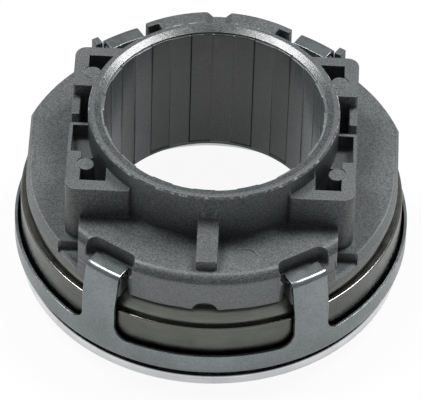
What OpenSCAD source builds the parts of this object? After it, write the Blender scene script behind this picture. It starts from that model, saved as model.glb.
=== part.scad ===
// Self-centring clutch release bearing.
// Plastic sliding sleeve, ball bearing under its flange, and the sheet-steel clip that joins them.
// The axis of the bearing is Z, the contact face lies at z = 0, and the pedestal faces -Y.
// Radii grow outward from the bore by walls and clearances, and heights grow up from the contact face.

/* [Guide tube] */
// Bore that slides on the gearbox guide tube
bore_d = 45; // [44:0.1:46]
// Wall of the tube
tube_wall = 3.3; // [3.1:0.1:3.6]
// Height of the rim over the flange
rim_h = 17.8; // [17:0.1:20]
// Length of the tube below the flange
tube_drop = 11.8; // [9:0.1:12.5]
// Width of the conical lead-in at the rim
lead_w = 1.5; // [1:0.1:1.7]
// Depth of the conical lead-in
lead_h = 0.55; // [0.4:0.05:1]
// Height of the small step under the lead-in
step_h = 0.3; // [0.25:0.05:0.6]
// Depth of that step in the wall
step_w = 0.55; // [0.45:0.05:0.6]
// Number of grooves round the bore
groove_count = 16; // [12:1:20]
// Turn of the first groove from the front
groove_turn = 8.5; // [0:0.5:20]
// Depth of each bore groove
groove_depth = 0.2; // [0.15:0.05:0.4]
// Plain length of bore at its lower end
plain_bore_h = 1; // [0.8:0.1:3]
// Edge break on the tube's ends
tube_edge = 0.4; // [0.2:0.1:0.5]

/* [Flange] */
// Thickness of the flange
flange_t = 3.5; // [3:0.1:4.5]
// Step from the clip's outside in to the flange's front and its side flats
front_inset = 2.45; // [2.2:0.05:2.7]
// How far the flange's rear stands over the clip's outside
rear_over = 0.4; // [0.2:0.1:0.6]
// Width of the sloped top edge
flange_edge_w = 0.7; // [0.4:0.1:0.8]
// Height of the sloped top edge
flange_edge_h = 1.7; // [1:0.1:2]
// Thickness left at the two front corner steps
corner_step_t = 1.3; // [1:0.1:1.6]
// Width of the corner steps beside the pedestal
corner_step_w = 4.2; // [3.5:0.1:5]
// Distance of the corner steps forward of the blocks' front face
corner_step_gap = 1.3; // [0.8:0.1:1.8]

/* [Fork blocks] */
// Height of the blocks over the flange
block_h = 13.9; // [12:0.1:15]
// How far the blocks' outer faces stand over the tube
block_over = 3.7; // [3.2:0.1:4.2]
// Front face of the front blocks, forward of the axis
block_front_y = 21.1; // [20.5:0.1:21.8]
// Rear face of the front blocks, forward of the axis
slot_front_y = 1.8; // [1:0.1:2.2]
// Front face of the rear blocks, behind the axis
slot_rear_y = 9; // [8.6:0.1:9.6]
// Rear face of the rear blocks, behind the axis
block_rear_y = 20.5; // [20:0.1:21]
// Wall at the front of the front blocks
front_wall = 2.9; // [2:0.1:3.2]
// Wall at the rear of the rear blocks
rear_wall = 2.5; // [2:0.1:3]
// Outer wall beside the deep pockets
side_wall = 3; // [2.4:0.1:3.4]
// Wall round the shallow pockets
thin_wall = 0.8; // [0.7:0.1:1.4]
// Depth of the shallow pockets
shallow_depth = 3.5; // [2:0.1:5]
// Depth of the deep pockets
deep_depth = 11; // [8:0.5:12]
// How far the deep pockets reach in behind the tube's outside
pocket_inset = 4.5; // [4:0.1:4.8]
// Rear end of the front blocks' deep pocket, forward of the axis
front_pocket_y = 8.7; // [8:0.1:9.4]
// Front end of the front blocks' shallow pocket, forward of the axis
shallow_end_y = 10; // [9.6:0.1:11]
// Front end of the rear blocks' pocket, behind the axis
rear_pocket_y = 13.2; // [12.8:0.1:14]
// Centre of the front pads, forward of the axis
front_pad_y = 13.6; // [13:0.1:14.2]
// Centre of the rear pads, behind the axis
rear_pad_y = 13.1; // [12.8:0.1:13.6]
// Distance of the pads' centres from the blocks' outer faces
pad_inset = 4; // [3.8:0.1:4.4]
// Diameter of the round ejector pads in the pockets
pad_d = 3.4; // [3:0.1:3.8]
// Width of the ring-shaped recess round each pad
pad_ring_w = 0.25; // [0.2:0.05:0.4]
// Depth of that recess below the blocks' top
pad_ring_h = 0.3; // [0.2:0.05:0.5]
// Drop of the pads' top below the blocks' top
pad_drop = 0.1; // [0.05:0.05:0.15]
// Width of the stop that narrows each fork slot
stop_w = 1.7; // [1.4:0.1:2.2]
// Length of that stop along the slot
stop_l = 5.4; // [4.4:0.1:5.8]
// Drop of the stop's top below the blocks
stop_drop = 3; // [2:0.1:5]
// Outer corner radius of the blocks
block_corner_r = 2.4; // [1.5:0.1:2.6]
// Corner radius beside the fork slots
slot_corner_r = 0.6; // [0.3:0.1:1]
// How far the front blocks' inner ends stand clear of the tube
end_step = 1.2; // [1:0.1:1.4]
// Corner radius of those ends
end_corner_r = 0.8; // [0.7:0.1:1]

/* [Pedestal] */
// Height of the pedestal over the flange
pedestal_h = 6.4; // [5.8:0.1:7]
// Step from the flange's front in to the pedestal's front wall
pedestal_inset = 0.95; // [0.8:0.05:1.1]
// Wall between each clip seat and the pedestal's side
seat_side_wall = 1.4; // [1:0.1:1.8]
// Thickness of the lobe that hangs in front of the flange
lobe_wall = 1.1; // [0.9:0.1:1.3]
// Height of the lobe's lower edge over the flange's underside
lobe_rise = 1.1; // [0.9:0.1:1.3]
// Angle of the lobe's ends from the front
lobe_end = 24.5; // [23.5:0.1:25]
// Angle of the slit beside each end
slit_span = 2.6; // [2:0.1:3]
// Depth of the slits
slit_depth = 2.4; // [2:0.1:2.6]
// Width of the arch in the lobe's lower edge
arch_w = 5.2; // [4.4:0.1:6]
// Height of the arch
arch_h = 1.9; // [1.5:0.1:2.4]
// Depth of the arch
arch_depth = 2.5; // [1.5:0.1:3]
// Radius of the pedestal's rounded front edge
pedestal_edge_r = 2.2; // [1:0.1:2.4]
// Width of the gusset rib
rib_w = 4.4; // [3:0.1:6]
// Height of the rib over the pedestal at its inner end, inside the tube's wall
rib_rise = 6.6; // [5:0.1:7.2]
// Height of the rib over the pedestal at its front end
rib_end = 2; // [1:0.1:3]
// Distance of the rib's front end behind the pedestal's front wall
rib_inset = 2.8; // [2.5:0.1:5]
// Diameter of the ejector mark beside the rib
mark_d = 5.4; // [4:0.1:6]
// Depth of the ejector mark
mark_depth = 0.15; // [0.1:0.05:0.3]
// Distance of the mark from the rib's middle
mark_x = 7.6; // [6:0.1:9]
// Distance of the mark behind the pedestal's front wall
mark_inset = 6.4; // [6:0.1:7]

/* [Rear of the sleeve] */
// How far the lug behind the rim stands over the tube
lug_over = 3.1; // [2.6:0.1:3.4]
// Drop of the lug's top below the rim
lug_drop = 0.25; // [0.1:0.05:0.3]
// Angle from the rear where the lug ends
lug_end = 32; // [28:0.5:33]
// Width of the notch in the middle of the lug, at its floor
notch_w = 2.6; // [2:0.1:4]
// Depth of the notch
notch_h = 1.35; // [1:0.05:2]
// Run of the notch's sloped sides
notch_run = 1.2; // [0.6:0.1:2]
// Outer wall left at the pockets in the lug's ends
lug_wall = 1.3; // [1:0.1:1.6]
// Angle of each of those pockets
lug_pocket_span = 5; // [4:0.5:8]
// Depth of those pockets below the rim
lug_pocket_h = 3; // [2:0.1:5]
// How much higher the rear clip seats lie than the front ones
rear_rise = 2.9; // [2.4:0.1:3.2]
// Thickness of the rear seats' walls
rear_seat_t = 1.15; // [1:0.05:1.3]
// Gap between a rear clip arm and the nib beside it
nib_gap = 0.6; // [0.5:0.05:0.9]
// Width of the nibs
nib_w = 1.6; // [1.2:0.1:2]
// Length of the nibs along the radius
nib_l = 2.1; // [1.6:0.1:2.3]
// Distance of the nibs outside the inner end of the rear openings
nib_step = 0.15; // [0.1:0.05:0.3]
// Height of the nibs over the flange
nib_h = 6.2; // [5:0.1:7]

/* [Retaining clip] */
// Room round the standing ring, in which the bearing centres itself
float_room = 0.6; // [0.55:0.05:0.8]
// Sheet thickness
sheet_t = 0.7; // [0.6:0.05:0.8]
// Height of the band
band_h = 5.4; // [4.5:0.1:6]
// Radius of the turned-in lower edge
band_bend_r = 1.4; // [1.2:0.1:1.6]
// Room between the turned-in lip and the lower seal
lip_room = 1; // [0.8:0.1:1.2]
// Angle of each arm from the front or rear
arm_angle = 32.3; // [31.5:0.1:33]
// Width of each arm
arm_w = 8; // [7:0.1:8.4]
// Radius of the corners between arms and band
window_r = 3; // [2:0.1:3.5]
// Height over the standing ring at which the arms start to lean in
lean_rise = 0.8; // [0.4:0.1:1.2]
// How far the arms lean in
arm_lean = 1.3; // [1.1:0.1:1.4]
// Outer radius of the fold
fold_r = 1.3; // [1.2:0.1:1.4]
// Length of the folded leg
leg_l = 2.6; // [2.5:0.1:2.7]
// Length of the leg's turned-down tip
tip_l = 1.2; // [0.8:0.1:1.5]

/* [Clip seats] */
// Height of the front seats' floor over the flange
seat_h = 2.6; // [2.2:0.1:3]
// Depth of the seats behind the pedestal's front wall
seat_depth = 3; // [2.9:0.05:3.2]
// Width of the seats
seat_w = 11.4; // [11:0.1:12]
// Corner radius of the seats
seat_corner_r = 2; // [1.5:0.1:2.4]
// Depth of the groove for the leg's tip
seat_groove_h = 2.2; // [1.8:0.1:2.4]
// Room beside the arms in their openings and grooves
arm_room = 0.4; // [0.3:0.05:0.45]
// Room in front of the leg's tip, and half of the room behind it
tip_room = 0.25; // [0.2:0.05:0.3]
// Room inside the rear arms in their openings
passage_room = 0.8; // [0.7:0.05:0.9]

/* [Bearing] */
// Number of balls
ball_count = 18; // [14:1:20]
// Diameter of the balls
ball_d = 6.35; // [6.2:0.05:6.4]
// From the neck to the circle through the ball centres
neck_to_balls = 2.6; // [2.5:0.05:2.7]
// From that circle to the standing ring's bore
balls_to_ring = 2.6; // [2.5:0.05:2.7]
// Wall of the standing ring below its raceway
ring_wall = 2.5; // [2.4:0.1:2.8]
// Height of the standing ring
ring_h = 11.55; // [11.3:0.05:11.8]
// Height of the ball centres over the ring's lower edge
ball_rise = 5.65; // [5.5:0.05:5.8]
// Radius of the ring's upper edge
ring_shoulder_r = 0.35; // [0.2:0.05:0.6]
// Radius of the ring's lower edge
ring_foot_r = 1; // [0.9:0.1:1.2]
// Width of the land round the washer's seat
seat_land = 1; // [0.8:0.1:1.4]
// How far the land over the raceway stands inside the ring's bore
land_w = 1.2; // [1:0.1:1.3]
// Room between the neck and the ring's top flange
mouth_gap = 0.8; // [0.6:0.1:1]
// Thickness of the ring's top flange under the washer
ring_top_t = 1.3; // [1.1:0.1:1.4]
// Depth of the washer's seat in the ring
washer_seat = 0.3; // [0.2:0.05:0.4]
// Radial running room of the balls in the raceways
race_room = 0.06; // [0.04:0.01:0.08]
// Room between ball and cage pocket
pocket_room = 0.12; // [0.08:0.01:0.2]
// Height of the cage
cage_h = 5.3; // [5.1:0.1:5.5]

/* [Contact ring] */
// Room between the sleeve's tube and the contact ring
tube_room = 3.7; // [3.2:0.1:4.2]
// Wall of the neck over the raceway
neck_wall = 2.5; // [2.2:0.1:2.8]
// How far the shoulder under the raceway stands over the neck
shoulder_w = 1.2; // [1:0.1:1.3]
// How far the contact flange stands over the standing ring
contact_over = 0.2; // [0:0.1:0.4]
// Thickness of the contact flange
contact_t = 2.6; // [2.2:0.1:2.8]
// Radius of the contact flange's upper edge
contact_top_r = 0.3; // [0.2:0.1:0.6]
// Radius of the contact flange's lower edge
contact_edge_r = 0.8; // [0.5:0.1:1]
// Gap between the contact flange and the clip
clip_gap = 1.7; // [1.4:0.1:2]

/* [Spring washer] */
// Free height of the washer
washer_h = 2.65; // [2.4:0.05:2.8]
// Sheet thickness of the washer
washer_t = 0.9; // [0.7:0.1:1]
// Width of the washer
washer_w = 6.6; // [6:0.1:7]
// Width of its turned-down outer part
washer_bend_w = 3.6; // [3.2:0.1:3.8]
// Room round the washer in its seat
washer_room = 0.6; // [0.5:0.05:0.7]

/* [Seals] */
// Width of the lower seal's rim
seal_rim_w = 0.7; // [0.5:0.1:0.8]
// Height of the lower seal's rim in the ring
seal_rim_h = 0.7; // [0.5:0.1:0.9]
// Thickness of the seals' webs
seal_t = 0.8; // [0.6:0.1:1]
// Step from the contact ring's bore to the upper seal's bore
upper_seal_step = 0.3; // [0:0.1:0.6]

/* [Fits] */
// Gap where pieces rest on each other
rest_gap = 0.05; // [0.02:0.01:0.1]
// Gap of the seals in the ring
seal_fit = 0.02; // [0.01:0.01:0.05]
// Gap of the seals and the cage to what turns beside them
lip_gap = 0.35; // [0.3:0.05:0.5]

/* [Hidden] */
$fn = 96;
// Overlap of a cut past the face that it opens
cut = 1;

// Radii from the bore out
bore_r = bore_d / 2;
tube_r = bore_r + tube_wall;
lug_r = tube_r + lug_over;
contact_bore_r = tube_r + tube_room;
neck_r = contact_bore_r + neck_wall;
shoulder_r = neck_r + shoulder_w;
pitch_r = neck_r + neck_to_balls;
ring_bore_r = pitch_r + balls_to_ring;
ring_land_r = ring_bore_r - land_w;
ring_mouth_r = neck_r + mouth_gap;
ring_r = ring_bore_r + ring_wall;
contact_r = ring_r + contact_over;
washer_seat_r = ring_r - seat_land;
washer_out_r = washer_seat_r - washer_room;
clip_in_r = ring_r + float_room;
clip_r = clip_in_r + sheet_t;
clip_lip_r = ring_bore_r + lip_room;
front_r = clip_r - front_inset;
rear_r = clip_r + rear_over;
pedestal_r = front_r - pedestal_inset;
seat_wall_r = pedestal_r - seat_depth;
ball_r = ball_d / 2;
race_r = ball_r + race_room;

// The clip's folded legs and the openings for its arms
arm_top_r = clip_r - arm_lean;
leg_out_r = arm_top_r - fold_r;
leg_in_r = leg_out_r - leg_l;
groove_in_r = leg_in_r - 2 * tip_room;
groove_out_r = leg_in_r + sheet_t + tip_room;
passage_r = arm_top_r - sheet_t - passage_room;
passage_x = arm_w / 2 + arm_room;

// Distances to the sides
block_x = tube_r + block_over;
pocket_x = block_x - side_wall;
pocket_in_x = tube_r - pocket_inset;
pad_x = block_x - pad_inset;
block_end_x = sqrt(tube_r * tube_r - block_front_y * block_front_y) + end_step;
pedestal_x = pedestal_r * sin(arm_angle) + seat_w / 2 * cos(arm_angle) + seat_side_wall;

// Heights from the contact face up
clip_z = contact_t + clip_gap;
band_top = clip_z + band_h;
ring_z = clip_z + sheet_t + rest_gap;
ring_top = ring_z + ring_h;
ball_z = ring_z + ball_rise;
washer_z = ring_top - washer_seat + rest_gap;
washer_top = washer_z + washer_h;
flange_z = washer_top + rest_gap;
flange_top = flange_z + flange_t;
root_z = flange_z + flange_t / 2;
lobe_z = flange_z + lobe_rise;
seat_z = flange_top + seat_h;
pedestal_top = flange_top + pedestal_h;
block_top = flange_top + block_h;
rim_top = flange_top + rim_h;
lug_top = rim_top - lug_drop;
tube_z = flange_z - tube_drop;
ring_web_z = ring_top - washer_seat - ring_top_t;
cage_top = ring_web_z - lip_gap;
neck_top = ring_web_z - 2 * lip_gap;

arm_lean_z = ring_top + lean_rise;
ball_step = 360 / ball_count;

// A rectangle between two corners
module area(low, high) {
    translate(low) square(high - low);
}

// A box between two corners
module box(low, high) {
    translate(low) cube(high - low);
}

module both_sides() {
    children();
    mirror([1, 0, 0]) children();
}

// Turns a piece from the front to an angle round the axis
module at_angle(a) {
    rotate([0, 0, a]) children();
}

// A sector of a turned profile, centred on the front
module sector(span) {
    rotate([0, 0, -90 - span / 2]) rotate_extrude(angle = span) children();
}

// What is cut off a profile to round its outer upper corner at r, z
module upper_round(r, z, edge) {
    difference() {
        area([r - edge, z - edge], [r + cut, z + cut]);
        translate([r - edge, z - edge]) circle(edge);
    }
}

// What is cut off a profile to round its outer lower corner at r, z
module lower_round(r, z, edge) {
    difference() {
        area([r - edge, z - cut], [r + cut, z + edge]);
        translate([r - edge, z + edge]) circle(edge);
    }
}

// Guide tube with its edge breaks, still solid inside
module tube_body() {
    rotate_extrude() polygon([
        [0, tube_z], [tube_r - tube_edge, tube_z], [tube_r, tube_z + tube_edge],
        [tube_r, rim_top - tube_edge], [tube_r - tube_edge, rim_top], [0, rim_top]
    ]);
}

// The bore with its lead-in, step and grooves
module bore_cut() {
    step_r = bore_r + step_w;
    lead_r = step_r + lead_w;
    lead_z = rim_top - lead_h;
    step_z = lead_z - step_h;
    rotate_extrude() polygon([
        [0, tube_z - cut], [bore_r + tube_edge, tube_z - cut], [bore_r + tube_edge, tube_z],
        [bore_r, tube_z + tube_edge], [bore_r, step_z], [step_r, step_z],
        [step_r, lead_z], [lead_r, rim_top], [lead_r, rim_top + cut], [0, rim_top + cut]
    ]);
    for (i = [0:groove_count - 1])
        at_angle(groove_turn + i * 360 / groove_count)
            sector(180 / groove_count)
                area([bore_r - cut, tube_z + plain_bore_h], [bore_r + groove_depth, lead_z]);
}

// Half section of the flange out to r, with its sloped top edge
module flange_section(r) {
    polygon([
        [0, flange_z], [r, flange_z], [r, flange_top - flange_edge_h],
        [r - flange_edge_w, flange_top], [0, flange_top]
    ]);
}

// Round front, and a wider rear between two side flats that run into the front
module flange_body() {
    reach = rear_r + cut;
    sector(180) flange_section(front_r);
    intersection() {
        rotate_extrude() flange_section(rear_r);
        translate([0, reach, 0]) rotate([90, 0, 0])
            linear_extrude(reach) both_sides() flange_section(front_r);
    }
}

// Lowered corners of the flange beside the pedestal
module corner_step_cut() {
    both_sides()
        box([pedestal_x, -rear_r, flange_z + corner_step_t],
            [pedestal_x + corner_step_w, -block_front_y - corner_step_gap, flange_top + cut]);
}

// Outline of a block from x_in to its outer face, with corner radii at its front and rear
module block_outline(x_in, y_front, y_rear, front_corner, rear_corner) {
    difference() {
        area([x_in, y_front], [block_x, y_rear]);
        translate([block_x - front_corner, y_front + front_corner])
            difference() {
                area([0, -front_corner - cut], [front_corner + cut, 0]);
                circle(front_corner);
            }
        translate([block_x - rear_corner, y_rear - rear_corner])
            difference() {
                area([0, 0], [rear_corner + cut, rear_corner + cut]);
                circle(rear_corner);
            }
    }
}

// Ring-shaped recess that frees an ejector pad from a block's top
module pad_recess(y) {
    translate([pad_x, y, block_top - pad_ring_h]) cylinder(d = pad_d + 2 * pad_ring_w, h = pad_ring_h + cut);
}

module pad(y) {
    translate([pad_x, y, block_top - deep_depth]) cylinder(d = pad_d, h = deep_depth - pad_drop);
}

module front_block() {
    difference() {
        translate([0, 0, root_z]) linear_extrude(block_top - root_z) difference() {
            block_outline(block_end_x, -block_front_y, -slot_front_y, block_corner_r, slot_corner_r);
            translate([block_end_x + end_corner_r, end_corner_r - block_front_y]) difference() {
                area([-end_corner_r - cut, -end_corner_r - cut], [0, 0]);
                circle(end_corner_r);
            }
        }
        box([pocket_in_x, -shallow_end_y, block_top - shallow_depth],
            [block_x - thin_wall, -slot_front_y - thin_wall, block_top + cut]);
        box([pocket_in_x, front_wall - block_front_y, block_top - deep_depth],
            [pocket_x, -front_pocket_y, block_top + cut]);
        pad_recess(-front_pad_y);
    }
    pad(-front_pad_y);
}

module rear_block() {
    difference() {
        translate([0, 0, root_z]) linear_extrude(block_top - root_z)
            block_outline(bore_r / 2, slot_rear_y, block_rear_y, slot_corner_r, block_corner_r);
        box([tube_r / 2, rear_pocket_y, block_top - deep_depth],
            [pocket_x, block_rear_y - rear_wall, block_top + cut]);
        pad_recess(rear_pad_y);
    }
    pad(rear_pad_y);
}

// Stop on the rear block that narrows the fork slot
module slot_stop() {
    box([block_x - stop_w, slot_rear_y - stop_l, root_z],
        [block_x, slot_rear_y + cut, block_top - stop_drop]);
}

// Front pedestal with its round front wall
module pedestal() {
    intersection() {
        rotate_extrude() difference() {
            area([0, lobe_z], [pedestal_r, pedestal_top]);
            upper_round(pedestal_r, pedestal_top, pedestal_edge_r);
        }
        box([-pedestal_x, -rear_r, lobe_z], [pedestal_x, front_wall / 2 - block_front_y, pedestal_top]);
    }
}

// Gusset between tube and pedestal
module rib() {
    reach = pedestal_r - rib_inset;
    translate([-rib_w / 2, 0, 0]) rotate([90, 0, 90]) linear_extrude(rib_w) polygon([
        [-bore_r - cut, pedestal_top - cut], [-reach, pedestal_top - cut],
        [-reach, pedestal_top + rib_end], [-bore_r - cut, pedestal_top + rib_rise]
    ]);
}

// Front trim of the flange behind the lobe
module lobe_trim() {
    sector(2 * lobe_end + slit_span)
        area([pedestal_r - lobe_wall, flange_z - cut], [rear_r, flange_top + cut]);
}

// Arch in the lobe's lower edge
module arch_cut() {
    spring_z = lobe_z + arch_h - arch_w / 2;
    intersection() {
        translate([0, arch_depth - pedestal_r, spring_z]) rotate([90, 0, 0])
            cylinder(d = arch_w, h = arch_depth + cut);
        box([-arch_w, -rear_r, flange_z - cut], [arch_w, 0, flange_top]);
    }
}

// Seat of a front clip arm: open to the front, with a groove for the leg's tip
module seat_cut() {
    far = rear_r;
    translate([0, 0, seat_z]) linear_extrude(pedestal_top) {
        area([-seat_w / 2, -far], [seat_w / 2, -seat_wall_r - seat_corner_r]);
        area([seat_corner_r - seat_w / 2, -far], [seat_w / 2 - seat_corner_r, -seat_wall_r]);
        for (side = [-1, 1])
            translate([side * (seat_w / 2 - seat_corner_r), -seat_wall_r - seat_corner_r])
                circle(seat_corner_r);
    }
    box([-passage_x, -groove_out_r, seat_z - seat_groove_h], [passage_x, -groove_in_r, seat_z + cut]);
}

// Slit between a clip arm and the lobe's end
module lobe_slit() {
    at_angle(lobe_end + slit_span / 2) sector(slit_span)
        area([pedestal_r - slit_depth, flange_z - cut], [rear_r, pedestal_top + cut]);
}

// Opening for a rear clip arm in the wide part of the flange
module arm_passage() {
    box([-passage_x, -rear_r - cut, flange_z - cut], [passage_x, -passage_r, flange_top + cut]);
}

// Wall that a rear clip arm hooks over
module rear_seat() {
    box([-passage_x, -groove_out_r - rear_seat_t, root_z], [passage_x, -groove_out_r, seat_z + rear_rise]);
}

// Nib that keeps a rear clip arm from shifting to the side
module nib() {
    side = arm_w / 2 + nib_gap;
    inner = passage_r + nib_step;
    box([-side - nib_w, -inner - nib_l, root_z], [-side, -inner, flange_top + nib_h]);
}

// Thick wall behind the rim, notched in its middle, with a pocket in each end
module lug() {
    difference() {
        at_angle(180) sector(2 * lug_end) area([tube_r - cut, root_z], [lug_r, lug_top]);
        translate([0, lug_r + cut, lug_top]) rotate([90, 0, 0]) linear_extrude(lug_r) polygon([
            [-notch_w / 2, -notch_h], [notch_w / 2, -notch_h],
            [notch_w / 2 + notch_run, 0], [notch_w / 2 + notch_run, cut],
            [-notch_w / 2 - notch_run, cut], [-notch_w / 2 - notch_run, 0]
        ]);
        both_sides() at_angle(180 - lug_end) sector(2 * lug_pocket_span)
            area([tube_r - 2 * cut, rim_top - lug_pocket_h], [lug_r - lug_wall, rim_top + cut]);
    }
}

module sliding_sleeve() {
    color([0.13, 0.13, 0.14]) difference() {
        union() {
            difference() {
                flange_body();
                corner_step_cut();
                lobe_trim();
                arch_cut();
                both_sides() {
                    lobe_slit();
                    at_angle(180 - arm_angle) arm_passage();
                }
            }
            both_sides() {
                front_block();
                rear_block();
                slot_stop();
                at_angle(180 - arm_angle) {
                    rear_seat();
                    nib();
                }
            }
            lug();
            difference() {
                pedestal();
                both_sides() {
                    at_angle(arm_angle) seat_cut();
                    lobe_slit();
                }
                arch_cut();
                translate([mark_x, mark_inset - pedestal_r, pedestal_top - mark_depth])
                    cylinder(d = mark_d, h = cut);
            }
            rib();
            tube_body();
        }
        bore_cut();
    }
}

// Half section of the clip's band with its turned-in lower lip
module band_section() {
    bend_x = clip_r - band_bend_r;
    bend_z = clip_z + band_bend_r;
    area([clip_in_r, bend_z], [clip_r, band_top]);
    area([clip_lip_r, clip_z], [bend_x, clip_z + sheet_t]);
    intersection() {
        difference() {
            translate([bend_x, bend_z]) circle(band_bend_r);
            translate([bend_x, bend_z]) circle(band_bend_r - sheet_t);
        }
        area([bend_x, clip_z - cut], [clip_r + cut, bend_z]);
    }
}

// Half section of an arm from the band to its turned-down tip, with its leg at leg_z
module arm_section(leg_z) {
    fold_top = leg_z + sheet_t;
    fold_z = fold_top - fold_r;
    polygon([
        [clip_in_r, band_top], [clip_r, band_top], [clip_r, arm_lean_z],
        [arm_top_r, fold_z], [arm_top_r - sheet_t, fold_z], [clip_in_r, arm_lean_z]
    ]);
    intersection() {
        difference() {
            translate([leg_out_r, fold_z]) circle(fold_r);
            translate([leg_out_r, fold_z]) circle(fold_r - sheet_t);
        }
        area([leg_out_r, fold_z], [arm_top_r + cut, fold_top + cut]);
    }
    area([leg_in_r, leg_z], [leg_out_r, fold_top]);
    area([leg_in_r, leg_z - tip_l], [leg_in_r + sheet_t, fold_top]);
}

// Outline of an arm seen along its radius, flared into the band by two round corners
module arm_outline() {
    half = arm_w / 2;
    area([-half, band_top - cut], [half, rim_top]);
    both_sides() difference() {
        area([half - cut, band_top - cut], [half + window_r, band_top + window_r]);
        translate([half + window_r, band_top + window_r]) circle(window_r);
    }
}

// Front half of the band with two arms: one turned shell, cut away between the arms
module clip_half(leg_z) {
    reach = clip_r + cut;
    intersection() {
        rotate_extrude() {
            band_section();
            arm_section(leg_z);
        }
        union() {
            box([-reach, -reach, 0], [reach, 0, band_top]);
            for (a = [-arm_angle, arm_angle])
                at_angle(a) translate([0, -leg_in_r / 2, 0]) rotate([90, 0, 0])
                    linear_extrude(reach - leg_in_r / 2) arm_outline();
        }
    }
}

module retaining_clip() {
    color([0.62, 0.64, 0.66]) {
        clip_half(seat_z + rest_gap);
        at_angle(180) clip_half(seat_z + rear_rise + rest_gap);
    }
}

// Flat inner part and a domed outer part that comes down on the standing ring
module spring_washer() {
    in_r = washer_out_r - washer_w;
    bend_r = washer_out_r - washer_bend_w;
    arc_r = (washer_bend_w * washer_bend_w + washer_h * washer_h) / (2 * washer_h);
    color([0.1, 0.1, 0.1]) rotate_extrude() {
        area([in_r, washer_top - washer_t], [bend_r, washer_top]);
        intersection() {
            difference() {
                translate([bend_r, washer_top - arc_r]) circle(arc_r);
                translate([bend_r, washer_top - arc_r]) circle(arc_r - washer_t);
            }
            area([bend_r, washer_z], [washer_out_r, washer_top + cut]);
        }
    }
}

module outer_ring() {
    color([0.3, 0.29, 0.24]) rotate_extrude() difference() {
        union() {
            area([ring_bore_r, ring_z], [ring_r, ring_top]);
            area([ring_land_r, ball_z], [ring_r, ring_top]);
            area([ring_mouth_r, ring_web_z], [ring_r, ring_top]);
        }
        area([0, ring_top - washer_seat], [washer_seat_r, ring_top + cut]);
        upper_round(ring_r, ring_top, ring_shoulder_r);
        lower_round(ring_r, ring_z, ring_foot_r);
        translate([pitch_r, ball_z]) circle(race_r);
    }
}

// Rubber ring in the mouth of the standing ring, with a lip over the neck
module upper_seal() {
    in_r = contact_bore_r + upper_seal_step;
    lip_r = (in_r + neck_r) / 2;
    color([0.08, 0.08, 0.08]) rotate_extrude() {
        area([in_r, ring_web_z], [ring_mouth_r - seal_fit, ring_web_z + seal_t]);
        area([in_r, neck_top + lip_gap], [lip_r, ring_web_z + seal_t]);
    }
}

// Rubber ring under the balls, with a rim pressed into the standing ring
module lower_seal() {
    rim_r = ring_bore_r - seal_fit;
    color([0.08, 0.08, 0.08]) rotate_extrude() {
        area([shoulder_r + lip_gap, ring_z - seal_t], [rim_r, ring_z]);
        area([rim_r - seal_rim_w, ring_z - seal_t], [rim_r, ring_z + seal_rim_h]);
    }
}

module contact_ring() {
    color([0.75, 0.76, 0.77]) rotate_extrude() difference() {
        union() {
            area([contact_bore_r, 0], [contact_r, contact_t]);
            area([contact_bore_r, 0], [shoulder_r, ball_z]);
            area([contact_bore_r, 0], [neck_r, neck_top]);
        }
        upper_round(contact_r, contact_t, contact_top_r);
        lower_round(contact_r, 0, contact_edge_r);
        translate([pitch_r, ball_z]) circle(race_r);
    }
}

// Crown cage with a pocket for each ball
module ball_cage() {
    color([0.55, 0.42, 0.2]) difference() {
        rotate_extrude() area([shoulder_r + lip_gap, cage_top - cage_h], [ring_land_r - lip_gap, cage_top]);
        for (i = [1:ball_count])
            at_angle(i * ball_step) translate([0, -pitch_r, ball_z])
                sphere(ball_r + pocket_room);
    }
}

module ball(i) {
    color([0.8, 0.8, 0.82]) at_angle(i * ball_step) translate([0, -pitch_r, ball_z])
        sphere(ball_r);
}

sliding_sleeve();
retaining_clip();
spring_washer();
outer_ring();
upper_seal();
lower_seal();
contact_ring();
ball_cage();
for (i = [1:ball_count])
    ball(i);
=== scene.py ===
"""Looks of a self-centring clutch release bearing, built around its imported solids."""

import math

import bmesh
import bpy
from mathutils import Matrix, Vector
from mathutils.kdtree import KDTree


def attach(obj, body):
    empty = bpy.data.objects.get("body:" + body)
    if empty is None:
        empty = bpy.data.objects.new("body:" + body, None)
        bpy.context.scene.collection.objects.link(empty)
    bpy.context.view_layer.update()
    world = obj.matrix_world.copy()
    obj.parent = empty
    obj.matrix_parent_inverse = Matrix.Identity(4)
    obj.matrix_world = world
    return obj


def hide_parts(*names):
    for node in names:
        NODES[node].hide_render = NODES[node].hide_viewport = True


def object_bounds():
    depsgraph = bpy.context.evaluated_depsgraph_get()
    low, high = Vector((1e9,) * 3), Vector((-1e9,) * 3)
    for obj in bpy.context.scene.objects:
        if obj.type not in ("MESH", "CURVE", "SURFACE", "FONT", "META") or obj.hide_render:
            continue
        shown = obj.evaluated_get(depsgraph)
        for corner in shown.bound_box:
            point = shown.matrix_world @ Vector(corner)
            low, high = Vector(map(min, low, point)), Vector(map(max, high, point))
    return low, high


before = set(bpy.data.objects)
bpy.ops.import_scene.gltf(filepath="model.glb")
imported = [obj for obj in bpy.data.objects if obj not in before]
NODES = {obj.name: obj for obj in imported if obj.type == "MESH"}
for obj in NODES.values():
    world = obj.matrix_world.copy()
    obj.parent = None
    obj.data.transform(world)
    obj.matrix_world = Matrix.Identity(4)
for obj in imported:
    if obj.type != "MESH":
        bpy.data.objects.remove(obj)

CAD_LOW, CAD_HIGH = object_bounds()
MM = 0.001

# Camera, fitted to the photograph's circles: a long lens, a metre away, turned and rolled a little
IMAGE_W, IMAGE_H = 422, 400
SENSOR_W = 36.0
FOCAL_PX = 4800.0
TARGET = Vector((0.0, 0.0, 14.5 * MM))
DISTANCE = 1.0
AZIMUTH = math.radians(1.0)
ELEVATION = math.radians(45.66)
ROLL = math.radians(1.8)
CENTRE_X, CENTRE_Y = 211.5, 196.4
NEAREST_SEEN = 0.01
FARTHEST_SEEN = 20.0


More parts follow.
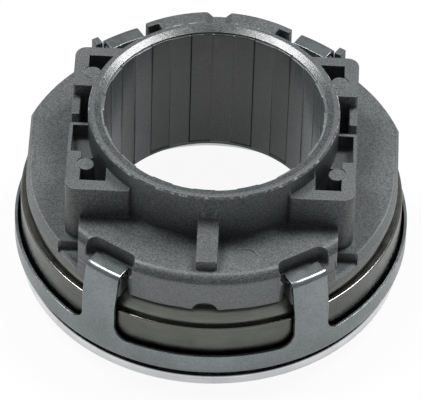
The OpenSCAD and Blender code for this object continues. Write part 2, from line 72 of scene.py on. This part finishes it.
def make_camera():
    """The photograph's viewpoint. Its axes are built from azimuth, elevation and roll."""
    back = Vector((math.sin(AZIMUTH) * math.cos(ELEVATION),
                   -math.cos(AZIMUTH) * math.cos(ELEVATION), math.sin(ELEVATION)))
    right = Vector((0, 0, 1)).cross(back).normalized()
    up = back.cross(right)
    image_x = math.cos(ROLL) * right + math.sin(ROLL) * up
    image_y = math.cos(ROLL) * up - math.sin(ROLL) * right
    data = bpy.data.cameras.new("camera")
    data.sensor_width = SENSOR_W
    data.lens = FOCAL_PX * SENSOR_W / IMAGE_W
    data.shift_x = (IMAGE_W / 2 - CENTRE_X) / IMAGE_W
    data.shift_y = (CENTRE_Y - IMAGE_H / 2) / IMAGE_W
    data.clip_start = NEAREST_SEEN
    data.clip_end = FARTHEST_SEEN
    camera = bpy.data.objects.new("camera", data)
    turn = Matrix((image_x, image_y, back)).transposed().to_4x4()
    camera.matrix_world = Matrix.Translation(TARGET + back * DISTANCE) @ turn
    bpy.context.scene.collection.objects.link(camera)
    bpy.context.scene.camera = camera


def rgb(red, green, blue):
    return (red, green, blue, 1)


def grey(value):
    return rgb(value, value, value)


# Stage: a pale floor, a pale surround and two soft boxes above and slightly behind the object
FLOOR_HALF = 3.0
FLOOR_COLOUR = grey(0.86)
WORLD_STRENGTH = 0.2
# Shares of their brighter shader that floor and surround show to the camera, and in reflections
FLOOR_SEEN_WHITE = 0.93
FLOOR_MIRRORED_WHITE = 0.55
WORLD_SEEN_WHITE = 1.0
WORLD_MIRRORED_WHITE = 0.4
LAMP_SIZE = 0.3
LAMP_WATTS = 6.6
LEFT_LAMP = Vector((-0.33, 0.25, 0.91))
RIGHT_LAMP = Vector((0.35, 0.33, 0.88))


def new_material(name):
    material = bpy.data.materials.new(name)
    material.use_nodes = True
    material.node_tree.nodes.clear()
    return material, material.node_tree


def looked_at(tree, seen_share, mirrored_share):
    """One share for a ray from the camera, one for a ray from a shiny surface, and 0 for other light."""
    path = tree.nodes.new("ShaderNodeLightPath")
    shares = []
    for ray, share in (("Is Camera Ray", seen_share), ("Is Glossy Ray", mirrored_share)):
        node = tree.nodes.new("ShaderNodeMath")
        node.operation = "MULTIPLY"
        node.inputs[1].default_value = share
        tree.links.new(path.outputs[ray], node.inputs[0])
        shares.append(node.outputs[0])
    either = tree.nodes.new("ShaderNodeMath")
    either.operation = "MAXIMUM"
    for share, socket in zip(shares, either.inputs):
        tree.links.new(share, socket)
    return either.outputs[0]


def whiten(tree, plain, white, share, out):
    """Puts a mix of a plain and a white shader, by a share, on a tree's output."""
    mix = tree.nodes.new("ShaderNodeMixShader")
    for source, socket in zip((share, plain.outputs[0], white.outputs[0]), mix.inputs):
        tree.links.new(source, socket)
    tree.links.new(mix.outputs[0], out.inputs["Surface"])


def make_floor():
    """A pale floor that the camera sees nearly white and that keeps a soft shadow."""
    mesh = bpy.data.meshes.new("floor")
    h = FLOOR_HALF
    mesh.from_pydata([(-h, -h, 0), (h, -h, 0), (h, h, 0), (-h, h, 0)], [], [(0, 1, 2, 3)])
    floor = bpy.data.objects.new("floor", mesh)
    bpy.context.scene.collection.objects.link(floor)
    material, tree = new_material("floor")
    diffuse = tree.nodes.new("ShaderNodeBsdfDiffuse")
    diffuse.inputs["Color"].default_value = FLOOR_COLOUR
    white = tree.nodes.new("ShaderNodeEmission")
    out = tree.nodes.new("ShaderNodeOutputMaterial")
    whiten(tree, diffuse, white, looked_at(tree, FLOOR_SEEN_WHITE, FLOOR_MIRRORED_WHITE), out)
    mesh.materials.append(material)


def make_world():
    """Pale to the camera, about half as bright in reflections, and a dim even light for the object."""
    world = bpy.data.worlds.new("surround")
    bpy.context.scene.world = world
    world.use_nodes = True
    tree = world.node_tree
    tree.nodes.clear()
    soft = tree.nodes.new("ShaderNodeBackground")
    soft.inputs["Strength"].default_value = WORLD_STRENGTH
    white = tree.nodes.new("ShaderNodeBackground")
    out = tree.nodes.new("ShaderNodeOutputWorld")
    whiten(tree, soft, white, looked_at(tree, WORLD_SEEN_WHITE, WORLD_MIRRORED_WHITE), out)


def make_lamp(name, place):
    """A square soft box that looks at the object."""
    data = bpy.data.lights.new(name, "AREA")
    data.size = LAMP_SIZE
    data.energy = LAMP_WATTS
    lamp = bpy.data.objects.new(name, data)
    lamp.location = place
    aim = TARGET - lamp.location
    lamp.rotation_mode = "QUATERNION"
    lamp.rotation_quaternion = aim.to_track_quat("-Z", "Y")
    bpy.context.scene.collection.objects.link(lamp)


# Materials

# Zones with a finish, or painted light or shade, of their own: lowest and highest radius, lowest and
# highest height
LEAD_IN = (22.9 * MM, 24.55 * MM, 39.75 * MM, 41 * MM)
BORE = (20 * MM, 23.1 * MM, 8.3 * MM, 41 * MM)
RIM_EDGE = (25.55 * MM, 25.75 * MM, 39.9 * MM, 40.2 * MM)
RING_EDGE = (39.3 * MM, 41 * MM, 16.4 * MM, 18 * MM)
GROOVE_END = (22.4 * MM, 22.9 * MM, 8.1 * MM, 8.35 * MM)
# Painted light: the outer wall of the flange and lobe is made paler at the front, as where light falls on
# it
OUTER_WALL = (37.55 * MM, 43 * MM, 19 * MM, 28.6 * MM)
# Width of the soft border round a zone
FADE = 0.1 * MM
# Where the painted light on the front of the outer wall starts to fade along y, and where it has gone
FRONT_FADE = (-10 * MM, 9 * MM)

# The bore's grooves, as in the part's source: radius, depth, number, and the turn of one from the front
BORE_R = 22.5 * MM
GROOVE_DEPTH = 0.2 * MM
GROOVES = 16
GROOVE_ANGLE = math.radians(8.5 - 90)
# An edge's distance from its groove's middle, in pitches
GROOVE_EDGE = 0.25
# Painted shade lines on those edges: half their width, and where along x they change from one edge to the
# other
SHADE_LINE_HALF = 0.11 * MM
SHADE_LINE_SEEN = (-3 * MM, 3 * MM)

# Parts of a noise's values that are spread over a whole range: wide, middling and narrow
WIDE = (0.3, 0.7)
MIDDLING = (0.35, 0.65)
NARROW = (0.38, 0.62)
# Finding edges: samples, and the cosine between rounded and flat normal where an edge begins and is full
EDGE_SAMPLES = 6
EDGE_COSINES = (0.98, 0.80)
# Sockets of the Mix node for colours: factor, first, second, and the result
MIX_INPUTS = (0, 6, 7)
MIX_RESULT = 2


class Shader:
    """A small builder for one principled material with named helpers for its nodes."""

    def __init__(self, name):
        self.material, self.tree = new_material(name)
        self.place = self.node("ShaderNodeTexCoord").outputs["Object"]
        self.surface = self.node("ShaderNodeBsdfPrincipled")
        out = self.node("ShaderNodeOutputMaterial")
        self.join(self.surface.outputs[0], out.inputs["Surface"])

    def node(self, kind):
        return self.tree.nodes.new(kind)

    def join(self, source, target):
        self.tree.links.new(source, target)

    def give(self, value, socket):
        """Joins another node's output to a socket, or sets a plain value on it."""
        if isinstance(value, bpy.types.NodeSocket):
            self.join(value, socket)
        else:
            socket.default_value = value

    def feed(self, key, value):
        """Gives a value to one of the surface's own sockets."""
        self.give(value, self.surface.inputs[key])

    def maths(self, kind, *values):
        node = self.node("ShaderNodeMath")
        node.operation = kind
        for value, socket in zip(values, node.inputs):
            self.give(value, socket)
        return node.outputs[0]

    def times(self, first, second):
        return self.maths("MULTIPLY", first, second)

    def noise(self, waves, detail=3.0, roughness=0.55, source=None):
        """Noise with so many waves to a metre, or to a unit of another source of coordinates."""
        node = self.node("ShaderNodeTexNoise")
        node.inputs["Scale"].default_value = waves
        node.inputs["Detail"].default_value = detail
        node.inputs["Roughness"].default_value = roughness
        self.join(source or self.place, node.inputs["Vector"])
        return node.outputs["Fac"]

    def ramp(self, value, ends, first, last):
        """Goes from one colour to another while a value goes from one end to the other."""
        node = self.node("ShaderNodeValToRGB")
        for element, place, colour in zip(node.color_ramp.elements, ends, (first, last)):
            element.position = place
            element.color = colour
        self.join(value, node.inputs["Fac"])
        return node.outputs["Color"]

    def span(self, value, low, high, out_low, out_high):
        """Goes from one number to another while a value goes from low to high."""
        node = self.node("ShaderNodeMapRange")
        keys = ("From Min", "From Max", "To Min", "To Max")
        for key, number in zip(keys, (low, high, out_low, out_high)):
            node.inputs[key].default_value = number
        self.join(value, node.inputs["Value"])
        return node.outputs["Result"]

    def mix(self, factor, first, second, blend="MIX"):
        node = self.node("ShaderNodeMix")
        node.data_type = "RGBA"
        node.blend_type = blend
        for key, value in zip(MIX_INPUTS, (factor, first, second)):
            self.give(value, node.inputs[key])
        return node.outputs[MIX_RESULT]

    def bump(self, height, strength, distance):
        node = self.node("ShaderNodeBump")
        node.inputs["Strength"].default_value = strength
        node.inputs["Distance"].default_value = distance
        self.join(height, node.inputs["Height"])
        return node.outputs["Normal"]

    def blotches(self, waves, detail, dark, light):
        """Soft patches between two colours."""
        return self.ramp(self.noise(waves, detail), WIDE, dark, light)

    def uneven(self, waves, detail, low, high):
        """A number that drifts between two values over the surface."""
        return self.span(self.noise(waves, detail), *WIDE, low, high)

    def xyz(self):
        split = self.node("ShaderNodeSeparateXYZ")
        self.join(self.place, split.inputs[0])
        return split.outputs

    def round_axis(self):
        """Radius, angle and height of a point about the bearing's axis."""
        x, y, z = self.xyz()
        square = self.maths("ADD", self.times(x, x), self.times(y, y))
        return self.maths("SQRT", square), self.maths("ARCTAN2", y, x), z

    def turned(self, around, along):
        """Coordinates for marks that run round the axis: fine along radius and height, slow around."""
        radius, angle, height = self.round_axis()
        bring = self.node("ShaderNodeCombineXYZ")
        for value, pace, socket in zip((radius, angle, height), (along, around, along), bring.inputs):
            self.join(self.times(value, pace), socket)
        return bring.outputs[0]

    def within(self, value, low, high):
        """1 between two limits, with a soft border outside them."""
        over = self.span(value, low - FADE, low, 0.0, 1.0)
        under = self.span(value, high, high + FADE, 1.0, 0.0)
        return self.times(over, under)

    def zone(self, inner, outer, low, high):
        """1 inside a zone about the axis and 0 outside it."""
        radius, _, height = self.round_axis()
        return self.times(self.within(radius, inner, outer), self.within(height, low, high))

    def front(self):
        """1 at the front, fading to 0 behind the middle."""
        return self.span(self.xyz()[1], *FRONT_FADE, 1.0, 0.0)

    def side(self):
        """1 on the left and right of the axis, and 0 in front of it and behind it."""
        _, angle, _ = self.round_axis()
        turn = self.maths("COSINE", angle)
        return self.times(turn, turn)

    def pitches(self):
        """Where a point lies about the axis, counted in pitches of the bore's grooves."""
        _, angle, _ = self.round_axis()
        return self.times(self.maths("SUBTRACT", angle, GROOVE_ANGLE), GROOVES / math.tau)

    def stave_tone(self, low, high):
        """A tone of its own for each groove and for each land between two grooves."""
        node = self.node("ShaderNodeTexWhiteNoise")
        node.noise_dimensions = "1D"
        self.join(self.maths("ROUND", self.times(self.pitches(), 2.0)), node.inputs["W"])
        return self.span(node.outputs["Value"], 0.0, 1.0, low, high)

    def painted_groove_shade(self):
        """Painted shade: 1 along one edge of each groove, where shade falls; in the bore's back, the one
        farther from the middle.
        """
        x = self.xyz()[0]
        radius, _, _ = self.round_axis()
        lines = []
        for edge, seen in ((GROOVE_EDGE, (1.0, 0.0)), (-GROOVE_EDGE, (0.0, 1.0))):
            count = self.maths("SUBTRACT", self.pitches(), edge)
            share = self.maths("ABSOLUTE", self.maths("SUBTRACT", count, self.maths("ROUND", count)))
            away = self.times(self.times(share, radius), math.tau / GROOVES)
            line = self.span(away, SHADE_LINE_HALF, 2 * SHADE_LINE_HALF, 1.0, 0.0)
            lines.append(self.times(line, self.span(x, *SHADE_LINE_SEEN, *seen)))
        return self.maths("MAXIMUM", *lines)

    def edges(self, radius):
        """Near 1 along edges and 0 on flat faces."""
        rounded = self.node("ShaderNodeBevel")
        rounded.samples = EDGE_SAMPLES
        rounded.inputs["Radius"].default_value = radius
        flat = self.node("ShaderNodeNewGeometry")
        turn = self.node("ShaderNodeVectorMath")
        turn.operation = "DOT_PRODUCT"
        self.join(rounded.outputs[0], turn.inputs[0])
        self.join(flat.outputs["Normal"], turn.inputs[1])
        return self.span(turn.outputs["Value"], *EDGE_COSINES, 0.0, 1.0)

    def edge_wear_and_glint(self, radius, waves, low, high):
        """How much edges are lightened, partly as rubbing and partly as a painted glint, more in some
        places than in others.
        """
        return self.times(self.edges(radius), self.span(self.noise(waves), *MIDDLING, low, high))


# Moulded plastic: its colours
PLASTIC_DARK = rgb(0.0475, 0.0545, 0.056)
PLASTIC_LIGHT = rgb(0.0665, 0.0760, 0.078)
# Painted light on the front of the outer wall
PLASTIC_WALL_LIGHT = rgb(0.205, 0.220, 0.223)
# Edges lightened partly by rubbing and partly as a painted glint
PLASTIC_WORN_AND_GLINT = rgb(0.34, 0.36, 0.365)
# Lightened nicked stretches on the rim's outer edge, partly a painted glint
PLASTIC_NICK_GLINT = rgb(0.50, 0.52, 0.52)
# Painted light on the groove ends, over the shade that falls on them
GROOVE_END_LIGHT = rgb(0.20, 0.21, 0.212)
# Painted shade along one edge of each of the bore's grooves
GROOVE_SHADE_COLOUR = rgb(0.007, 0.007, 0.008)
# Its noises, in waves to a metre
FLOW_WAVES = 90
GRAIN_WAVES = 3400
EDGE_WEAR_AND_GLINT_WAVES = 500
NICK_WAVES = 900
NICK_GROUP_WAVES = 130
SHEEN_WAVES = 400
# Its tones, as factors or shares from low to high
SPECK_TONES = (0.35, 1.65)
STAVE_TONES = (0.65, 1.35)
# Painted light and shade in the bore: lighter on its two sides, darker in front and behind
SIDE_LIGHT_TONES = (0.3, 2.6)
# Shares of the painted light on the front of the outer wall
WALL_LIGHT_SHARES = (0.45, 0.8)
WEAR_AND_GLINT_SHARES = (0.1, 0.7)
NICK_GROUP_SHARES = (0.1, 1.0)
# Where the painted light on the bore's sides is full, and how much weaker the specks are in the bore
SIDE_LIGHT_FULL = 0.7
BORE_EVEN = 0.7
# Parts of two noises that make the nicked stretches and the groups they come in; the rim's outer edge is
# lightened in them, partly as nicking and partly as a painted glint
NICKS = (0.47, 0.62)
NICK_GROUPS = (0.42, 0.60)
PLASTIC_EDGE = 0.32 * MM
PLASTIC_ROUGH = (0.42, 0.54)
POLISHED = 0.5
GRAIN_STRENGTH = 0.35
GRAIN_HEIGHT = 0.08 * MM
PLASTIC_SPECULAR = 0.7


def plastic_grey(s, bore, grain):
    """The grey: flow patches, a grain of specks, and in the bore a tone for each stave, with painted light
    on the bore's sides and painted shade in its front and back.
    """
    patches = s.blotches(FLOW_WAVES, 4, PLASTIC_DARK, PLASTIC_LIGHT)
    # Painted light and shade: the bore's sides lighter, its front and back darker
    staves_and_side_light = s.times(s.stave_tone(*STAVE_TONES), s.span(s.side(), 0.0, SIDE_LIGHT_FULL, *SIDE_LIGHT_TONES))
    patches = s.mix(bore, patches, s.mix(1.0, patches, staves_and_side_light, "MULTIPLY"))
    specks = s.ramp(grain, NARROW, *map(grey, SPECK_TONES))
    specks = s.mix(s.times(bore, BORE_EVEN), specks, grey(1.0))
    return s.mix(1.0, patches, specks, "MULTIPLY")


def plastic_colour(s, bore, grain, groove_shade):
    """The grey with painted light on the front of the outer wall, edges lightened by rubbing and a painted
    glint, a nicked rim edge lightened partly as a painted glint, painted light on the groove ends and
    painted shade along the grooves.
    """
    colour = plastic_grey(s, bore, grain)
    # Painted light: the front of the outer wall is made paler, as where light falls on it
    wall_light = s.times(s.zone(*OUTER_WALL), s.span(grain, *NARROW, *WALL_LIGHT_SHARES))
    colour = s.mix(s.times(wall_light, s.front()), colour, PLASTIC_WALL_LIGHT)
    # Edges lightened partly by rubbing and partly as a painted glint, also in inside corners
    colour = s.mix(s.edge_wear_and_glint(PLASTIC_EDGE, EDGE_WEAR_AND_GLINT_WAVES, *WEAR_AND_GLINT_SHARES), colour, PLASTIC_WORN_AND_GLINT)
    # The rim's outer edge lightened in broken nicked stretches, partly a painted glint
    rim_nicks_and_glint = s.times(s.span(s.noise(NICK_WAVES, 4, 0.7), *NICKS, 0.0, 1.0),
                    s.span(s.noise(NICK_GROUP_WAVES, 2), *NICK_GROUPS, *NICK_GROUP_SHARES))
    colour = s.mix(s.times(s.zone(*RIM_EDGE), rim_nicks_and_glint), colour, PLASTIC_NICK_GLINT)
    # Painted light: the groove ends are lightened where shade falls on them
    colour = s.mix(s.zone(*GROOVE_END), colour, GROOVE_END_LIGHT)
    return s.mix(groove_shade, colour, GROOVE_SHADE_COLOUR)


def moulded_plastic():
    """Glass-filled nylon: a dark cool grey with a fine grain, worn in use and polished in the bore, with
    painted light and shade in places.
    """
    s = Shader("moulded_plastic")
    bore = s.zone(*BORE)
    grain = s.noise(GRAIN_WAVES, 2)
    # Painted shade lines along the grooves, which also make the surface rougher there
    groove_shade = s.times(bore, s.painted_groove_shade())
    s.feed("Base Color", plastic_colour(s, bore, grain, groove_shade))
    polish = s.maths("MAXIMUM", s.zone(*LEAD_IN), bore)
    rough = s.times(s.uneven(SHEEN_WAVES, 3, *PLASTIC_ROUGH), s.span(polish, 0.0, 1.0, 1.0, POLISHED))
    s.feed("Roughness", s.maths("MAXIMUM", rough, groove_shade))
    s.feed("Normal", s.bump(grain, GRAIN_STRENGTH, GRAIN_HEIGHT))
    s.feed("Specular IOR Level", PLASTIC_SPECULAR)
    return s.material


# Steel: waves of its noises, tones, edges, and how smooth a ground zone is beside the rest
TURNED_AROUND = 6.0
STEEL_PATCH_WAVES = 120
STEEL_EDGE_WEAR_AND_GLINT_WAVES = 900
STEEL_SHEEN_WAVES = 300
STEEL_PATCH_TONES = (0.86, 1.1)
STEEL_WEAR_AND_GLINT_SHARES = (0.2, 0.85)
STEEL_EDGE = 0.3 * MM
GROUND_SMOOTH = 0.55
MARK_STRENGTH = 0.12
MARK_HEIGHT = 0.03 * MM


def steel(name, dark, light, rough, marks, edge_wear_and_glint=None, turned=True, ground=None):
    """Metal with fine marks, turned or even, and tone patches.

    With an edge colour its edges are lightened, partly as rubbing and partly as a painted glint, and a
    ground zone is smoother and has that colour.
    """
    s = Shader(name)
    lines = s.noise(1.0, 4, 0.6, s.turned(TURNED_AROUND, marks)) if turned else s.noise(marks, 3, 0.6)
    tone = s.mix(s.span(lines, *WIDE, 0.0, 1.0), dark, light)
    patches = s.blotches(STEEL_PATCH_WAVES, 3, *map(grey, STEEL_PATCH_TONES))
    colour = s.mix(1.0, tone, patches, "MULTIPLY")
    if edge_wear_and_glint:
        # Edges lightened partly by rubbing and partly as a painted glint
        colour = s.mix(s.edge_wear_and_glint(STEEL_EDGE, STEEL_EDGE_WEAR_AND_GLINT_WAVES, *STEEL_WEAR_AND_GLINT_SHARES), colour, edge_wear_and_glint)
    roughness = s.uneven(STEEL_SHEEN_WAVES, 4, *rough)
    if ground:
        bright = s.zone(*ground)
        colour = s.mix(bright, colour, edge_wear_and_glint)
        roughness = s.times(roughness, s.span(bright, 0.0, 1.0, 1.0, GROUND_SMOOTH))
    s.feed("Base Color", colour)
    s.feed("Metallic", 1.0)
    s.feed("Roughness", roughness)
    s.feed("Normal", s.bump(lines, MARK_STRENGTH, MARK_HEIGHT))
    return s.material


# Height of the grain on rubber and on the cage
SOFT_GRAIN = 0.05 * MM


def seal_rubber():
    s = Shader("seal_rubber")
    s.feed("Base Color", s.blotches(500, 4, rgb(0.012, 0.012, 0.012), rgb(0.03, 0.03, 0.031)))
    s.feed("Roughness", s.uneven(900, 3, 0.6, 0.8))
    s.feed("Normal", s.bump(s.noise(3000, 2), 0.2, SOFT_GRAIN))
    return s.material


def cage_nylon():
    s = Shader("cage_plastic")
    s.feed("Base Color", s.blotches(250, 4, rgb(0.26, 0.17, 0.075), rgb(0.36, 0.25, 0.12)))
    s.feed("Roughness", s.uneven(700, 3, 0.4, 0.55))
    s.feed("Normal", s.bump(s.noise(2400, 2), 0.15, SOFT_GRAIN))
    return s.material


def make_materials():
    """A material for each node, by the node's name."""
    ball = steel("ball_steel", rgb(0.70, 0.70, 0.72), rgb(0.80, 0.80, 0.82), rough=(0.06, 0.12), marks=3000)
    made = {
        "sliding_sleeve": moulded_plastic(),
        "retaining_clip": steel(
            "clip_steel", rgb(0.175, 0.194, 0.198), rgb(0.240, 0.263, 0.268),
            rough=(0.24, 0.34), marks=2200, edge_wear_and_glint=rgb(0.50, 0.53, 0.54), turned=False),
        "spring_washer": steel(
            "washer_steel", rgb(0.25, 0.262, 0.235), rgb(0.335, 0.348, 0.315),
            rough=(0.30, 0.40), marks=3000),
        "outer_ring": steel(
            "ring_steel", rgb(0.098, 0.102, 0.093), rgb(0.128, 0.132, 0.12),
            rough=(0.24, 0.34), marks=4000, edge_wear_and_glint=rgb(0.22, 0.22, 0.20), ground=RING_EDGE),
        "contact_ring": steel(
            "contact_steel", rgb(0.78, 0.80, 0.81), rgb(0.90, 0.91, 0.92),
            rough=(0.20, 0.30), marks=5000),
        "upper_seal": seal_rubber(),
        "ball_cage": cage_nylon(),
    }
    made["lower_seal"] = made["upper_seal"]
    for name in NODES:
        made.setdefault(name, ball)
    return made


# Pieces

# Radii of the rounded corners, the steps across one, and how many radii wide a face beside it has to be
SLEEVE_CORNER = 0.2 * MM
CLIP_CORNER = 0.15 * MM
CORNER_STEPS = 2
CORNER_ROOM = 2.5
# Angles between faces: corners from ROUNDED on are rounded, edges below FOLDED are shaded smooth, and
# faces within FLAT are joined
ROUNDED = math.radians(35)
FOLDED = math.radians(17)
FLAT = math.radians(0.4)
# Largest angle that a facet of a face turned about the axis may span
ARC_STEP = math.radians(2.5)
# Points closer than WELD are one, and measures closer than SAME are equal
WELD = 0.001 * MM
SAME = 0.002 * MM
BORE_RADII = (BORE_R, BORE_R + GROOVE_DEPTH)


def give_material(piece, material):
    piece.data.materials.clear()
    piece.data.materials.append(material)


def circle_of(edge):
    """Radius and height of the circle about the axis that an edge's two ends share, or None."""
    first, second = (v.co for v in edge.verts)
    radius = first.to_2d().length
    if abs(radius - second.to_2d().length) > SAME or abs(first.z - second.z) > SAME:
        return None
    return radius, first.z


def same_circle(first, second):
    return second is not None and all(abs(a - b) < SAME for a, b in zip(first, second))


def is_arc(edge):
    """True for a facet edge of a face turned about the axis.

    Its circle goes on in an edge beside it, or is one of the bore's.
    """
    circle = circle_of(edge)
    if circle is None or edge.calc_length() < WELD:
        return False
    if any(abs(circle[0] - radius) < SAME for radius in BORE_RADII):
        return True
    beside = {other for v in edge.verts for other in v.link_edges} - {edge}
    return any(same_circle(circle, circle_of(other)) for other in beside)


def refine_rounds(shape):
    """Splits long facets of faces turned about the axis, and puts the new points on their circles."""
    groups, places = {}, []
    for edge in shape.edges:
        if not is_arc(edge):
            continue
        radius = circle_of(edge)[0]
        cuts = math.ceil(2 * math.asin(edge.calc_length() / (2 * radius)) / ARC_STEP) - 1
        if cuts > 0:
            groups.setdefault(cuts, []).append(edge)
            first, second = (v.co for v in edge.verts)
            places += [(first.lerp(second, k / (cuts + 1)), radius) for k in range(1, cuts + 1)]
    tree = KDTree(len(places))
    for index, (point, _) in enumerate(places):
        tree.insert(point, index)
    tree.balance()
    for cuts in sorted(groups):
        made = bmesh.ops.subdivide_edges(shape, edges=groups[cuts], cuts=cuts, use_grid_fill=True)
        for vert in [item for item in made["geom_inner"] if isinstance(item, bmesh.types.BMVert)]:
            _, index, distance = tree.find(vert.co)
            if distance < WELD:
                flat = vert.co.to_2d()
                vert.co.xy = flat * (places[index][1] / flat.length)


def reach(face, edge):
    """How far a face runs away from one of its edges."""
    start = edge.verts[0].co
    line = (edge.verts[1].co - start).normalized()
    return max(((v.co - start) - line * (v.co - start).dot(line)).length for v in face.verts)


def is_rounded(edge, width):
    """True for an outside corner between two faces that are wide enough to carry the rounding."""
    if len(edge.link_faces) != 2 or not edge.is_convex or edge.calc_face_angle() < ROUNDED:
        return False
    return all(reach(face, edge) > CORNER_ROOM * width for face in edge.link_faces)


def round_corners(shape, width):
    """Rounds the outside corners of a shape, and marks which of its edges are shaded smooth."""
    for face in shape.faces:
        face.smooth = True
    for edge in shape.edges:
        edge.smooth = len(edge.link_faces) == 2 and edge.calc_face_angle() < FOLDED
    corners = [edge for edge in shape.edges if is_rounded(edge, width)]
    for edge in corners:
        edge.smooth = True
    bmesh.ops.bevel(shape, geom=corners, offset=width, offset_type="OFFSET", segments=CORNER_STEPS,
                    profile=0.5, affect="EDGES", clamp_overlap=False, miter_outer="ARC",
                    miter_inner="SHARP")


def rounded_piece(node, body, width):
    """A copy of a node whose outside corners are rounded, as a moulding's or a tumbled pressing's are.

    It stays inside the CAD box and takes the node's place.
    """
    shape = bmesh.new()
    shape.from_mesh(NODES[node].data)
    bmesh.ops.remove_doubles(shape, verts=shape.verts, dist=WELD)
    bmesh.ops.dissolve_limit(shape, angle_limit=FLAT, verts=shape.verts, edges=shape.edges)
    refine_rounds(shape)
    round_corners(shape, width)
    for vert in shape.verts:
        vert.co = [min(max(place, least), most) for place, least, most in zip(vert.co, CAD_LOW, CAD_HIGH)]
    mesh = bpy.data.meshes.new(node + "_rounded")
    shape.to_mesh(mesh)
    shape.free()
    old_normals = mesh.attributes.get("custom_normal")
    if old_normals:
        mesh.attributes.remove(old_normals)
    piece = bpy.data.objects.new(node + "_rounded", mesh)
    bpy.context.scene.collection.objects.link(piece)
    even = piece.modifiers.new("even", "WEIGHTED_NORMAL")
    even.keep_sharp = True
    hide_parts(node)
    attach(piece, body)
    return piece


bpy.context.scene.view_settings.view_transform = "Standard"
make_camera()
make_floor()
make_world()
make_lamp("left_box", LEFT_LAMP)
make_lamp("right_box", RIGHT_LAMP)
materials = make_materials()
for name, node in NODES.items():
    give_material(node, materials[name])
sleeve = rounded_piece("sliding_sleeve", "sleeve", SLEEVE_CORNER)
give_material(sleeve, materials["sliding_sleeve"])
clip = rounded_piece("retaining_clip", "sleeve", CLIP_CORNER)
give_material(clip, materials["retaining_clip"])
